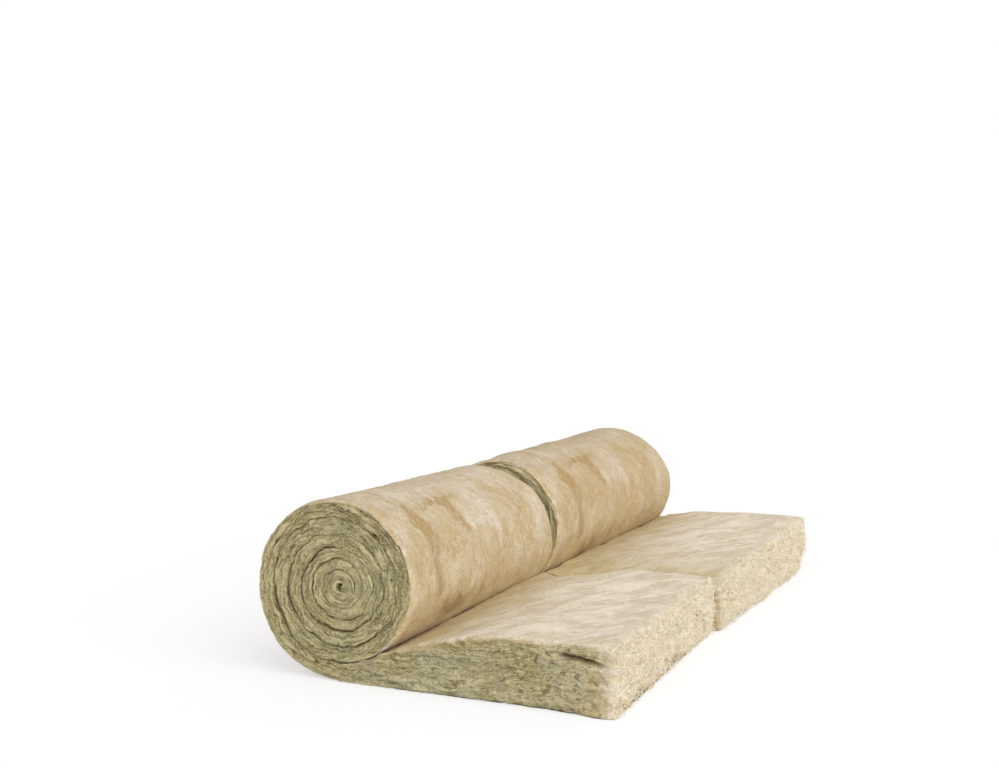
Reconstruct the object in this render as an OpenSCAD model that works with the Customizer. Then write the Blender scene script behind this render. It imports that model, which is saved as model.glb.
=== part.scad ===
// Roll of mineral wool insulation, slit into two mats that lie side by side.
// Each mat is one strip of wool: most of it is still wound up, and its free
// end, the tail, is unrolled flat and has sprung back to full thickness.
// Millimetres, +Z up. The roll's axis runs along Y and the tails point to +X.
// The origin is on the floor, at the middle of the space the roll takes up.

/* [Mat] */
// Width of each mat, along the roll's axis
mat_width = 610; // [400:5:900]
// Thickness of a mat that has sprung back fully
mat_thickness = 105; // [60:1:140]

/* [Roll] */
// Height of the roll as it lies on the floor
roll_height = 298; // [240:1:400]
// Thickness of the outermost turn, which has loosened
outer_turn = 30; // [22:0.5:40]
// Thickness of the innermost turn, which is still packed tight
inner_turn = 10; // [9:0.5:20]
// Width of the eye, the bore that the mat is wound around
eye_width = 14; // [8:1:30]

/* [Tail] */
// How far the front mat's tail reaches from the roll's lowest line, at mid-width
front_tail = 480; // [380:5:900]
// How far the rear mat's tail reaches from the roll's lowest line, at mid-width
rear_tail = 455; // [380:5:900]
// Angle at which the front mat's free end runs back, as it was torn off a little askew
front_angle = 5; // [0:0.5:6]
// Angle at which the rear mat's free end runs back
rear_angle = 2.5; // [0:0.5:6]
// Distance from the roll's lowest line over which a tail swells to full thickness
swell_length = 300; // [220:5:360]
// Distance from the roll's lowest line at which a tail parts from the roll
crease_reach = 90; // [60:1:100]

/* [Slit] */
// Gap between the two mats at floor level
slit_gap = 0.4; // [0.2:0.1:10]
// Angle at which the slit gapes open over the roll
slit_gape = 11; // [2:0.5:14]

/* [Turns] */
// Width of the groove between two turns at the face of an end
groove_width = 5; // [2:0.5:7]
// Width of the groove at its bottom
groove_root = 1.5; // [0.5:0.1:2]
// Depth of the groove between two turns
groove_depth = 14; // [5:1:30]

/* [Hidden] */
$fn = 96;

// Short overlap that makes cuts and joins clean
bite = 1;
// Points along the swelling part of a tail's top
swell_steps = 14;

// The spiral is drawn with half circles that meet on the upright line through
// the eye. Each layer crossed on the way in, from the floor up and from the top
// down by turns, is a little thinner than the one before it.
mean_turn = (outer_turn + inner_turn) / 2;
layers = floor((roll_height - eye_width) / mean_turn);
layer_fit = (roll_height - eye_width) / (layers * mean_turn);

// Thickness of layer number i, counted from the outside
function layer(i) = layer_fit * (outer_turn + (inner_turn - outer_turn) * i / (layers - 1));

// Height at which the spiral crosses the upright line for the k-th time
function crossing(k) =
    k == 0 ? 0 :
    k == 1 ? roll_height :
    crossing(k - 2) + (k % 2 == 0 ? 1 : -1) * layer(k - 2);

function arc_radius(k) = abs(crossing(k + 1) - crossing(k)) / 2;
function arc_height(k) = (crossing(k + 1) + crossing(k)) / 2;

// Height of the roll's underside at distance x, to the right of its lowest line
function roll_underside(x) = arc_height(1) - sqrt(pow(arc_radius(1), 2) - x * x);

// Thickness of a tail at distance x from the roll's lowest line, beyond the crease
function swell(x) = min(1, (x - crease_reach) / (swell_length - crease_reach));
function tail_height(x) =
    mat_thickness - (mat_thickness - roll_underside(crease_reach)) * pow(1 - swell(x), 2);

// How much further a tail reaches along its longer edge than at mid-width
function end_rise(angle) = mat_width / 2 * tan(angle);
longest_tail = max(front_tail + end_rise(front_angle), rear_tail + end_rise(rear_angle));
roll_x = (roll_height / 2 - longest_tail) / 2;
lean = slit_gape / 2;
wool = "#CDB98F";

// Outline of the wound part: two half discs, the right one resting on the tail
module roll_outline() {
    intersection() {
        translate([0, arc_height(0)]) circle(arc_radius(0));
        translate([-roll_height, 0]) square([roll_height, roll_height]);
    }
    intersection() {
        translate([0, arc_height(1)]) circle(arc_radius(1));
        translate([0, layer(0)]) square([roll_height, roll_height]);
    }
}

// Outline of the tail, closed up against the roll as far as the crease
module tail_outline(reach) {
    polygon(concat(
        [[0, 0], [reach, 0], [reach, mat_thickness]],
        [for (i = [swell_steps : -1 : 0])
            let (x = crease_reach + (swell_length - crease_reach) * i / swell_steps)
            [x, tail_height(x)]],
        [[crease_reach, roll_underside(crease_reach) + bite], [0, layer(0) + bite]]
    ));
}

// Section of the groove, standing at a given radius
module groove_section(radius) {
    translate([radius, 0])
        polygon([
            [-groove_width / 2, -bite],
            [groove_width / 2, -bite],
            [groove_root / 2, groove_depth],
            [-groove_root / 2, groove_depth]
        ]);
}

// Groove along half circle number k of the spiral: even ones lie on the left
module half_turn_groove(k) {
    translate([0, arc_height(k), 0])
        rotate([0, 0, k % 2 == 0 ? 90 : -90])
            rotate_extrude(angle = 180)
                groove_section(arc_radius(k));
}

// Groove between the tail and the turn that rests on it
module tail_groove() {
    translate([0, arc_height(1), 0])
        rotate([0, 0, -90])
            rotate_extrude(angle = asin(crease_reach / arc_radius(1)))
                groove_section(arc_radius(1));
}

// All the turns as they show on one end, cut downwards from the plane z = 0
module turns() {
    tail_groove();
    for (k = [2 : layers]) half_turn_groove(k);
}

// The bore that runs through the roll, cut downwards from the plane z = 0
module eye() {
    translate([0, arc_height(layers), -bite])
        cylinder(d = eye_width, h = mat_width + 2 * bite);
}

// Moves an outline's plane upright, with its depth running towards -Y
module stand_up() {
    rotate([90, 0, 0]) children();
}

// Leans the slit's face back about the line where it meets the floor
module lean_back() {
    rotate([lean, 0, 0]) children();
}

// Everything in front of the slit's leaning face
module slit_cut() {
    lean_back()
        translate([-roll_height, 0, 0])
            cube([2 * roll_height, roll_height, 2 * roll_height]);
}

// Everything beyond the free end of a tail, whose edge turns back by an angle
module end_cut(reach, angle) {
    translate([reach, -mat_width / 2, -bite])
        rotate([0, 0, angle])
            translate([0, -mat_width, 0])
                cube([mat_width, 2 * mat_width, mat_thickness + 2 * bite]);
}

// One mat, in front of the slit, with its slit face at Y = 0 on the floor
module mat(reach, angle) {
    color(wool)
        difference() {
            union() {
                difference() {
                    stand_up() linear_extrude(mat_width) roll_outline();
                    slit_cut();
                }
                stand_up() linear_extrude(mat_width) tail_outline(reach + end_rise(abs(angle)) + bite);
            }
            end_cut(reach, angle);
            stand_up() eye();
            lean_back() stand_up() turns();
            translate([0, -mat_width, 0]) mirror([0, 1, 0]) stand_up() turns();
        }
}

module front_mat() {
    translate([roll_x, -slit_gap / 2, 0]) mat(front_tail, front_angle);
}

module rear_mat() {
    mirror([0, 1, 0]) translate([roll_x, -slit_gap / 2, 0]) mat(rear_tail, -rear_angle);
}

front_mat();
rear_mat();
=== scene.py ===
# %% [markdown]
# # A roll of mineral wool, partly unrolled
#
# The real thing is a strip of springy wool that was wound up tight and slit in two, so two mats lie
# side by side. This lesson makes each mat the way the factory does: first as a flat strip, then wound
# up. The looks come from real relief on the mesh, one wool finish that follows the strip, and loose
# fibres.

# %% Load the frame
import math

import bmesh
import bpy
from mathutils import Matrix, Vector


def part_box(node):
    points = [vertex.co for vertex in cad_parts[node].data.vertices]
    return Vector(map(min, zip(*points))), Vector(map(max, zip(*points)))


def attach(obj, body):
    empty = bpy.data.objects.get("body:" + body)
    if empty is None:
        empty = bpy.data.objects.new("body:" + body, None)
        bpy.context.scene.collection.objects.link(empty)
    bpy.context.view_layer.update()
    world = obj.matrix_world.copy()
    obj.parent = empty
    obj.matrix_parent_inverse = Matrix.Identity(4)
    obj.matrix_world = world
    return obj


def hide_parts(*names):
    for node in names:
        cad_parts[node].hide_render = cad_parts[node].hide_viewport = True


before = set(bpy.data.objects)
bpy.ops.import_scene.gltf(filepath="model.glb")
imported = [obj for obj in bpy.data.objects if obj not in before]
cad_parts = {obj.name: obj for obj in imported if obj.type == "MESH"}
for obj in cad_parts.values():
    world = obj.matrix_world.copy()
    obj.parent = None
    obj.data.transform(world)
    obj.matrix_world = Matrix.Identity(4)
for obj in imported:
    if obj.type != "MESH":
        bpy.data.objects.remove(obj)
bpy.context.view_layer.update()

# %% [markdown]
# ## The sizes
#
# Every size is in metres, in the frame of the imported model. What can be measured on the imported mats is
# measured; the rest repeats the driving sizes of the part. The spiral is drawn with half circles that
# meet on the upright line through the eye, and each layer is a little thinner than the one outside it,
# so two numbers describe the whole winding: the outer layer and how much each next layer loses.

# %% Sizes of the mats
front_low, front_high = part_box("front_mat")
rear_low, rear_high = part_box("rear_mat")
ROLL_HEIGHT = front_high[2] - front_low[2]
MAT_WIDTH = front_high[1] - front_low[1]
ROLL_X = front_low[0] + ROLL_HEIGHT / 2
MAT_THICKNESS = 0.105
OUTER_TURN = 0.030
INNER_TURN = 0.010
EYE_WIDTH = 0.014
FRONT_END_SLOPE = math.tan(math.radians(5))
REAR_END_SLOPE = math.tan(math.radians(2.5))

mean_turn = (OUTER_TURN + INNER_TURN) / 2
LAYERS = math.floor((ROLL_HEIGHT - EYE_WIDTH) / mean_turn)
layer_fit = (ROLL_HEIGHT - EYE_WIDTH) / (LAYERS * mean_turn)
OUTER_LAYER = layer_fit * OUTER_TURN
THINNING = layer_fit * (OUTER_TURN - INNER_TURN) / (LAYERS - 1)
print(f"roll {ROLL_HEIGHT:.3f} high, mats {MAT_WIDTH:.3f} wide, {LAYERS} layers from {OUTER_LAYER:.4f} m")


def crossing(k):
    """Height at which the spiral crosses the upright line for the k-th time."""
    m = k // 2
    if k % 2 == 0:
        return OUTER_LAYER * m - THINNING * m * (m - 1)
    return ROLL_HEIGHT - OUTER_LAYER * m + THINNING * m * m


# %% [markdown]
# ## One class for all node maths
#
# Blender's node trees can be written as plain sums. The class below wraps one output socket. Adding,
# subtracting, multiplying or dividing wires adds Math nodes, and `of` makes any other node from its
# type, its settings and what goes into its sockets. It serves the Geometry Nodes and the material.

# %% The wire class
class Wire:
    """An output socket of a node tree, on which arithmetic adds nodes."""

    def __init__(self, socket):
        self.socket = socket

    @classmethod
    def of(cls, tree, kind, inputs=None, out=0, **settings):
        node = tree.nodes.new(kind)
        for name, value in settings.items():
            setattr(node, name, value)
        for key, value in (inputs or {}).items():
            if isinstance(value, Wire):
                tree.links.new(value.socket, node.inputs[key])
            else:
                node.inputs[key].default_value = value
        return cls(node.outputs[out])

    @property
    def tree(self):
        return self.socket.id_data

    def node(self, kind, inputs=None, out=0, **settings):
        return Wire.of(self.tree, kind, inputs, out, **settings)

    def math(self, operation, *others):
        return self.node("ShaderNodeMath", dict(enumerate((self, *others))), operation=operation)

    def __add__(self, other):
        return self.math("ADD", other)

    __radd__ = __add__

    def __mul__(self, other):
        return self.math("MULTIPLY", other)

    __rmul__ = __mul__

    def __sub__(self, other):
        return self.math("SUBTRACT", other)

    def __rsub__(self, other):
        return self * -1 + other

    def __truediv__(self, other):
        return self.math("DIVIDE", other)

    def __rtruediv__(self, other):
        return self.node("ShaderNodeMath", {0: other, 1: self}, operation="DIVIDE")

    def __pow__(self, other):
        return self.math("POWER", other)

    def ease(self, start, stop, low=0.0, high=1.0):
        """Goes smoothly from low to high while the wire goes from start to stop."""
        places = {0: self, 1: start, 2: stop, 3: low, 4: high}
        return self.node("ShaderNodeMapRange", places, interpolation_type="SMOOTHSTEP")

    def lerp(self, other, share):
        return self + share * (other - self)

    def fade(self, length):
        """Falls from 1 at zero towards nothing over a few lengths."""
        return (self * (-1 / length)).math("EXPONENT")


class Places:
    """Wires that several steps share, each under a short name."""


def vector(x, y, z):
    tree = next(w for w in (x, y, z) if isinstance(w, Wire)).tree
    return Wire.of(tree, "ShaderNodeCombineXYZ", {0: x, 1: y, 2: z})


def parts(place):
    """The three numbers of a vector wire."""
    node = place.node("ShaderNodeSeparateXYZ", {0: place}).socket.node
    return [Wire(socket) for socket in node.outputs]


def noise(place, scale, detail=2.0, rough=0.5, out=0):
    """Cloudy noise around 0.5, from a place vector in metres and a scale per metre."""
    inputs = {"Vector": place, "Scale": scale, "Detail": detail, "Roughness": rough}
    return place.node("ShaderNodeTexNoise", inputs, out)


def contour(value, width, level=0.5):
    """A thin line where a noise passes a level: 1 on the line and 0 away from it."""
    return (value - level).math("ABSOLUTE").ease(width, 0.0)


print("wire class ready")

# %% [markdown]
# ## The flat strip
#
# A mat starts as a flat strip: its length runs along X, its width along Y and its thickness along Z.
# A plain subdivided box would spend most of its faces inside the roll, where nobody sees them. So the
# strip is a box whose columns carry many points where the surface shows (the outer turn, the free end
# and the cut edges) and few where it is wound out of sight. Where a dense column meets a sparse one, a
# single many-sided face joins them, so the strip stays closed.

# %% Places of the strip's points
# Steps along the strip: on the free end, close to its tip, on the outer turn and on the inner turns
FREE_STEP = 0.0042
FINE_END = 0.045
FINE_END_STEP = 0.0027
OUTER_STEP = 0.0046
INNER_STEP = 0.0042
INNER_STEP_SHARE = 0.16
# Levels through the thickness, and how many of them are skipped out of sight
LEVELS = 36
LEVEL_SKIP = 3
# Rows across the strip: even ones, and closer ones at the cut ends
ROW_STEP = 0.0052
EDGE_ROWS = (0.0, 0.0025, 0.007, 0.014, 0.024)
# Half turns that show from outside, and where the free end's upper face comes into view
VISIBLE_TURNS = 2
OPEN_FROM = 0.03


def spread(start, stop, step):
    """Evenly spaced places from start to stop, without start."""
    count = max(1, round(abs(stop - start) / step))
    return [start + (stop - start) * (i + 1) / count for i in range(count)]


def strip_columns(reach):
    """Places along the strip, from the free end to the eye, as (along, turn)."""
    tail = [reach] + spread(reach, reach - FINE_END, FINE_END_STEP)
    tail += spread(tail[-1], 0.0, FREE_STEP)
    columns = [(along, 0.0) for along in tail]
    along = 0.0
    for k in range(LAYERS):
        radius = abs(crossing(k + 1) - crossing(k)) / 2
        step = OUTER_STEP if k < VISIBLE_TURNS else min(INNER_STEP, radius * INNER_STEP_SHARE)
        for turn in spread(k, k + 1, step / (math.pi * radius)):
            thickness = OUTER_LAYER - THINNING * turn
            along_step = (turn - columns[-1][1]) * math.pi * (radius - thickness / 2)
            along -= along_step
            columns.append((along, turn))
    return columns


def strip_rows():
    """Places across the strip."""
    inner = spread(EDGE_ROWS[-1], MAT_WIDTH - EDGE_ROWS[-1], ROW_STEP)[:-1]
    return list(EDGE_ROWS) + inner + [MAT_WIDTH - row for row in reversed(EDGE_ROWS)]


def pairs(first, second):
    """Matches two neighbouring lists of places, where one may be sparser than the other."""
    shared = sorted(set(first) & set(second))
    for start, stop in zip(shared, shared[1:]):
        ahead = [i for i in first if start <= i <= stop]
        back = [i for i in second if start <= i <= stop]
        yield ahead, back[::-1]


print(len(strip_rows()), "rows across the strip")


# %% Build the flat strips
def flat_strip(name, reach):
    columns, rows = strip_columns(reach), strip_rows()
    last_column, last_row = len(columns) - 1, len(rows) - 1
    all_rows, all_levels = list(range(len(rows))), list(range(LEVELS + 1))
    edge = len(EDGE_ROWS)
    edge_rows = all_rows[:edge] + all_rows[-edge:]
    few_levels = all_levels[::LEVEL_SKIP]
    verts, ids, turns, cuts = [], {}, [], []

    def point(c, level, r):
        if (c, level, r) not in ids:
            along, turn = columns[c]
            ids[c, level, r] = len(verts)
            verts.append((along, rows[r], MAT_THICKNESS * level / LEVELS))
            turns.append(turn)
            cuts.append(float(r in (0, last_row)))
        return ids[c, level, r]

    def levels_of(c):
        return all_levels if columns[c][1] <= VISIBLE_TURNS else few_levels

    def outer_rows(c):
        shows = c == 0 or (columns[c][0] <= 0 and columns[c][1] <= VISIBLE_TURNS)
        return all_rows if shows else edge_rows

    def inner_rows(c):
        return all_rows if columns[c][0] > OPEN_FROM else edge_rows

    faces = []
    for c in range(last_column):
        for r in (0, last_row):
            for ahead, back in pairs(levels_of(c), levels_of(c + 1)):
                faces.append([point(c, i, r) for i in ahead] + [point(c + 1, i, r) for i in back])
        for level, rows_of in ((0, outer_rows), (LEVELS, inner_rows)):
            for ahead, back in pairs(rows_of(c), rows_of(c + 1)):
                faces.append([point(c, level, i) for i in ahead] + [point(c + 1, level, i) for i in back])
    for c, levels, across in ((0, all_levels, all_rows), (last_column, few_levels, edge_rows)):
        for low, high in zip(levels, levels[1:]):
            for left, right in zip(across, across[1:]):
                corners = ((low, left), (low, right), (high, right), (high, left))
                faces.append([point(c, i, j) for i, j in corners])

    mesh = bpy.data.meshes.new(name)
    mesh.from_pydata(verts, [], faces)
    for label, values in (("turn", turns), ("cut", cuts)):
        mesh.attributes.new(label, "FLOAT", "POINT").data.foreach_set("value", values)
    shell = bmesh.new()
    shell.from_mesh(mesh)
    bmesh.ops.recalc_face_normals(shell, faces=shell.faces)
    open_edges = sum(not e.is_manifold for e in shell.edges)
    shell.to_mesh(mesh)
    shell.free()
    mesh.shade_smooth()
    strip = bpy.data.objects.new(name, mesh)
    bpy.context.scene.collection.objects.link(strip)
    print(f"{name}: {len(verts)} points, {len(faces)} faces, {open_edges} open edges")
    return strip


front_reach = front_high[0] - ROLL_X - MAT_WIDTH / 2 * FRONT_END_SLOPE
rear_reach = rear_high[0] - ROLL_X - MAT_WIDTH / 2 * REAR_END_SLOPE
front_wool = flat_strip("front_wool", front_reach)
rear_wool = flat_strip("rear_wool", rear_reach)

# %% [markdown]
# ## Winding the strip up
#
# The winding follows a rule, so Geometry Nodes do it: every point of the flat strip knows how many
# half turns it is away from the roll's lowest line, and the tree works out its place between the half
# circle outside it and the one inside it. Sculpting the roll by hand would look just as soft, but it
# could not be changed by one number. The tree also adds what makes wool look like wool: crevices that
# open between the turns, plies that stand out unevenly on the cut ends, dents in the skin and a ragged
# free end. All the noise has fixed seeds.

# %% Helpers for Geometry Nodes
WINDING_INPUTS = ("Roll Height", "Outer Layer", "Thinning", "Roll X", "Start Y", "Width", "Reach",
                  "Slit At Start", "Slit At Stop", "Rim At Start", "Rim At Stop", "Slit Middle",
                  "Slit Top", "End Slope", "Thickness", "Seed")


def new_tree(name, float_inputs):
    tree = bpy.data.node_groups.new(name, "GeometryNodeTree")
    tree.interface.new_socket("Geometry", in_out="INPUT", socket_type="NodeSocketGeometry")
    for label in float_inputs:
        tree.interface.new_socket(label, in_out="INPUT", socket_type="NodeSocketFloat")
    tree.interface.new_socket("Geometry", in_out="OUTPUT", socket_type="NodeSocketGeometry")
    source = tree.nodes.new("NodeGroupInput")
    given = {s.name: Wire(s) for s in source.outputs if s.name}
    return tree, given


def close_tree(tree, geometry):
    sink = tree.nodes.new("NodeGroupOutput")
    tree.links.new(geometry.socket, sink.inputs[0])


def named(tree, label):
    return Wire.of(tree, "GeometryNodeInputNamedAttribute", {"Name": label}, data_type="FLOAT")


def store(geometry, label, value):
    inputs = {"Geometry": geometry, "Name": label, "Value": value}
    return geometry.node("GeometryNodeStoreNamedAttribute", inputs, data_type="FLOAT", domain="POINT")


def apply_tree(piece, tree, values):
    """Runs a tree on a piece once and keeps the result as its plain mesh."""
    modifier = piece.modifiers.new(tree.name, "NODES")
    modifier.node_group = tree
    for item in tree.interface.items_tree:
        if item.in_out == "INPUT" and item.name in values:
            modifier[item.identifier] = values[item.name]
    evaluated = piece.evaluated_get(bpy.context.evaluated_depsgraph_get())
    mesh = bpy.data.meshes.new_from_object(evaluated)
    piece.modifiers.remove(modifier)
    flat = piece.data
    piece.data = mesh
    bpy.data.meshes.remove(flat)
    mesh.name = piece.name
    mesh.shade_smooth()


def rounding(gap, sizes):
    """How far a rounded edge has dropped at a distance from its end: sizes are (length, height)."""
    length, height = sizes
    share = (1 - gap / length).math("MAXIMUM", 0).math("MINIMUM", 1)
    return height * (1 - (1 - share * share).math("MAXIMUM", 0).math("SQRT"))


print("winding takes", len(WINDING_INPUTS), "named inputs")

# %% [markdown]
# ## The roll and its free end
#
# On the real roll the turns lie close together inside, and draw apart here and there at the cut ends.
# The free end rests under the roll as far as a crease, and then springs up to its full thickness. Both
# are worked out for every point, and the winding tree picks the one that applies.

# %% Places on the flat strip
def strip_places(tree, given):
    """Where each point of the flat strip is, seen from its ends, edges and faces."""
    s = Places()
    s.along, s.across, height = parts(Wire.of(tree, "GeometryNodeInputPosition"))
    s.depth = height / given["Thickness"]
    s.turn, s.cut, s.seed = named(tree, "turn"), named(tree, "cut"), given["Seed"]
    s.y = given["Start Y"] + s.across
    s.tail = s.along.math("MAXIMUM", 0)
    s.to_end = given["Reach"] - s.tail

    # Distance from the nearer cut end, which way that end faces and whether it is in the slit
    s.from_cut = s.across.math("MINIMUM", given["Width"] - s.across)
    s.facing = (s.across - given["Width"] * 0.5).math("SIGN")
    s.share = s.across / given["Width"]
    s.far_half = s.share.math("GREATER_THAN", 0.5)
    s.in_slit = given["Slit At Start"].lerp(given["Slit At Stop"], s.far_half)
    s.end = s.facing * 7 + s.seed

    # Whether it is on the free end, on the outermost turn or on that turn's skin
    s.free = s.along.math("GREATER_THAN", 0)
    s.wound = 1 - s.free
    s.edge = (2 * s.depth - 1).math("ABSOLUTE")
    s.outermost = s.wound * s.turn.ease(2.02, 2.0)
    s.skin_side = s.outermost * s.depth.ease(0.5, 0.0)
    return s


print("places on the strip ready")

# %% The wound part
# How the turns draw apart near a cut end: reach from the end, least share and what is added at most
SLACK_REACH = 0.009
SLACK = (0.005, 0.075)
# How the rim of the skin rounds off: its least length, and length for each metre it drops
RIM_LENGTH = (0.008, 4)
# How far the core lies to the right
CORE_SHIFT = 0.007


def half_circle(k, given):
    """Centre height and radius of half circle number k of the spiral."""
    def place(n):
        m = (n * 0.5).math("FLOOR")
        odd = n - 2 * m
        even_place = given["Outer Layer"] * m - given["Thinning"] * m * (m - 1)
        odd_place = given["Roll Height"] - given["Outer Layer"] * m + given["Thinning"] * m * m
        return even_place.lerp(odd_place, odd)

    low, high = place(k), place(k + 1)
    return (low + high) * 0.5, (high - low).math("ABSOLUTE") * 0.5


def wound_place(given, s):
    """Place of the wound part, between half circle k and half circle k + 2."""
    s.opening = noise(vector(s.along * 11, s.end, 0.3), 1, 2).ease(0.47, 0.66)
    slack = s.wound * s.from_cut.fade(SLACK_REACH) * (SLACK[0] + SLACK[1] * s.opening)
    depth_in = 0.5 + (s.depth - 0.5) * (1 - slack * (1 - s.skin_side))
    k = (s.turn - 1e-4).math("FLOOR").math("MAXIMUM", 0)
    angle = (s.turn - k) * math.pi
    side = 2 * (k - 2 * (k * 0.5).math("FLOOR")) - 1
    sine, cosine = angle.math("SINE"), angle.math("COSINE")
    outside_height, outside_radius = half_circle(k, given)
    inside_height, inside_radius = half_circle(k + 2, given)
    rim_drop = given["Rim At Start"].lerp(given["Rim At Stop"], s.far_half)
    rim_length = RIM_LENGTH[0] + rim_drop * RIM_LENGTH[1]
    rim = s.skin_side * rounding(s.from_cut / rim_length, (1.0, 1.0)) * rim_drop
    radius = outside_radius.lerp(inside_radius, depth_in) - rim
    x = side * radius * sine + CORE_SHIFT * (s.turn / LAYERS).ease(0.1, 0.8)
    return x, outside_height.lerp(inside_height, depth_in) + side * radius * cosine


print("wound part ready, its turns draw apart by up to", sum(SLACK), "of their thickness")

# %% The free end
# How the free end swells: gap at the crease, length, and its height at the foot from front to slit
CREASE_GAP = 0.0008
TAIL_RISE = 0.34
TAIL_FOOT = (0.014, 0.056)
FOOT_SPAN = (-0.66, -0.02)
# Height of the free end's top at the slit, how much it rises towards both ends, and its gentle hills
TAIL_TOP = (0.108, 0.022)
TAIL_HILLS = 0.016
# Least height of the free end where it leaves the roll: its slope and where that ends
ROOT_SLOPE = 0.25
ROOT_HEIGHT = 0.052
# Rounded edges, as (length, height): at the tip above and below, and beside the slit
TOP_ROUND = (0.022, 0.009)
FOOT_ROUND = (0.010, 0.004)
SLIT_ROUND = (0.015, 0.002)
# Hollows beside the slit: depth and reach of the rear one, reach of the painted shade beside it, depth of
# the front one
GROOVE_DEPTH = 0.026
GROOVE_REACH = 0.035
GROOVE_SHADE = 0.09
DIP_DEPTH = 0.017
# Thickness of the roll along its axis: share at the slit, slope and bend
TAPER = (0.983, -0.0861, 0.039)


def tail_place(given, s):
    """Place of the free end, which springs up beside the roll, least at the front."""
    tail, y, from_cut = s.tail, s.y, s.from_cut
    foot_height = y.ease(*FOOT_SPAN, *TAIL_FOOT)
    rise = (1 - tail / TAIL_RISE).math("MAXIMUM", 0)
    hills = noise(vector(s.along * 7, s.across * 7, s.seed), 1, 1) - 0.5
    full = TAIL_TOP[0] + y * y * TAIL_TOP[1]
    swollen = full - (full - foot_height) * rise * rise + hills * TAIL_HILLS * tail.ease(0.1, 0.2)
    root = (given["Outer Layer"] + tail * ROOT_SLOPE).math("MINIMUM", ROOT_HEIGHT)
    swollen = swollen.math("MAXIMUM", root)

    # Hollows beside the slit: a groove in the rear mat and a dip in the front one
    beside_slit = s.in_slit * tail.ease(0.10, 0.18)
    groove = beside_slit * given["Slit At Start"] * from_cut.fade(GROOVE_REACH)
    # The painted shade beside the rear mat's groove, which the wool finish lays on the skin
    s.groove_shade = beside_slit * given["Slit At Start"] * from_cut.fade(GROOVE_SHADE)
    swollen = swollen - groove * GROOVE_DEPTH - beside_slit * rounding(from_cut, SLIT_ROUND)
    dip = s.in_slit * given["Slit At Stop"] * from_cut.ease(0.12, 0.0)
    swollen = swollen - DIP_DEPTH * dip * tail.ease(0.08, 0.17) * tail.ease(0.33, 0.20)

    # The roll rests on the free end as far as the crease
    under_radius = (given["Roll Height"] - given["Outer Layer"]) * 0.5
    under_square = (under_radius * under_radius - tail * tail).math("MAXIMUM", 0)
    underside = given["Outer Layer"] + under_radius - under_square.math("SQRT")
    s.hold = tail.ease(0.10, 0.22, 1, 0)
    s.taper = s.hold * (TAPER[0] - 1 + y * TAPER[1] + y * y * TAPER[2]) + 1
    top = underside.math("MINIMUM", swollen / s.taper) - CREASE_GAP
    s.top = top - rounding(s.to_end, TOP_ROUND) * from_cut.ease(0.0, 0.06, 0.4, 1)
    foot = rounding(s.to_end, FOOT_ROUND)
    from_middle = given["Width"] * 0.5 - s.across
    askew = from_middle * given["End Slope"] * (tail / given["Reach"]).ease(0, 1)
    return tail + askew, foot.lerp(s.top, s.depth)


print("free end ready, it swells over", TAIL_RISE, "m")

# %% [markdown]
# ## Soft shapes and relief
#
# Wool is never quite straight. The roll tapers and sags, its turns wave where they were cut, and its
# layers stand out and part. A displacement map could only push the surface one way. Here each step
# moves the points in its own direction, so a turn can wave sideways while its plies stand out.

# %% Soft roll and wavy turns
# How far the roll sags to the right, and how much more at its far end
SAG = (0.005, 0.005)
# Outer corners at the tip: the front one spreads in x and y, the rear one is worn
CORNER_SPREAD = (0.008, -0.015)
CORNER_WEAR = 0.012
# Waves of the turns, as (size, scale, reach from the cut end)
SLOW_WAVE = (0.013, 24, 0.03)
QUICK_WAVE = (0.008, 75, 0.012)


def soft_roll(given, s, x, z):
    """The roll is a little thicker at its front than at its back and sags; the tip's corners are worn."""
    x, z = x * s.taper, z * s.taper
    belly = x.ease(0.0, 0.14) * z.ease(0.05, 0.15) * z.ease(0.30, 0.20)
    x = x + belly * s.hold * (SAG[0] + s.y.ease(0.1, 0.6) * SAG[1])
    outside = 1 - s.in_slit
    low_down = (1 - s.depth) ** 2 * s.tail.ease(0.32, 0.50) * outside * s.from_cut.ease(0.10, 0.0)
    front, rear = given["Slit At Stop"], given["Slit At Start"]
    x = x + low_down * (front * CORNER_SPREAD[0] - rear * CORNER_WEAR)
    s.spread_y = low_down * front * CORNER_SPREAD[1]
    return x, z


def wavy_turns(s, x, z):
    """Waves of the turns near the cut ends, slow ones and quick ones."""
    waves_x, waves_z = 0, 0
    for size, scale, reach in (SLOW_WAVE, QUICK_WAVE):
        bend_x, _, bend_z = parts(noise(vector(x, s.end, z), scale, 1, 0.5, out=1))
        waves_x = (bend_x - 0.5) * size * s.from_cut.fade(reach) + waves_x
        waves_z = (bend_z - 0.5) * size * s.from_cut.fade(reach) + waves_z
    calm = z.ease(0.0, 0.05) * (1 - 0.75 * s.skin_side) * s.hold
    return x + waves_x * calm, z + waves_z * calm


print("soft roll and wavy turns ready")

# %% Relief of the cut ends
# Relief of the cut ends: turns that stand out, plies, tufts, strands and lines where layers part
TURN_PROUD, TURN_PLIES, TURN_TUFTS = 0.016, 0.016, 0.006
TAIL_PLIES, TAIL_TUFTS, TAIL_STRANDS = 0.016, 0.010, 0.009
CRACK_DEPTH = 0.003
# How far the layers sway, how far the ends stand out all over, and how far in the relief reaches
PLY_SWAY = 0.045
TURN_FILL, TAIL_FILL = 0.003, 0.006
RELIEF_REACH = 0.02
# How far the edges of the turns fall back, at least and where the turns draw apart
TURN_EDGE = (0.001, 0.006)
# Rounded edges of the cut ends, as (share of the thickness, height), and of their tip in metres
OUTER_ROUND = (0.22, 0.005)
TOP_LIP = (0.10, 0.006)
FOOT_LIP = (0.08, 0.005)
TIP_ROUND = (0.015, 0.005)
# A gash under the top edge of the front mat's side: height as a share of the thickness, and depth
GASH_HEIGHT = 0.80
GASH_DEPTH = 0.018
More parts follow.
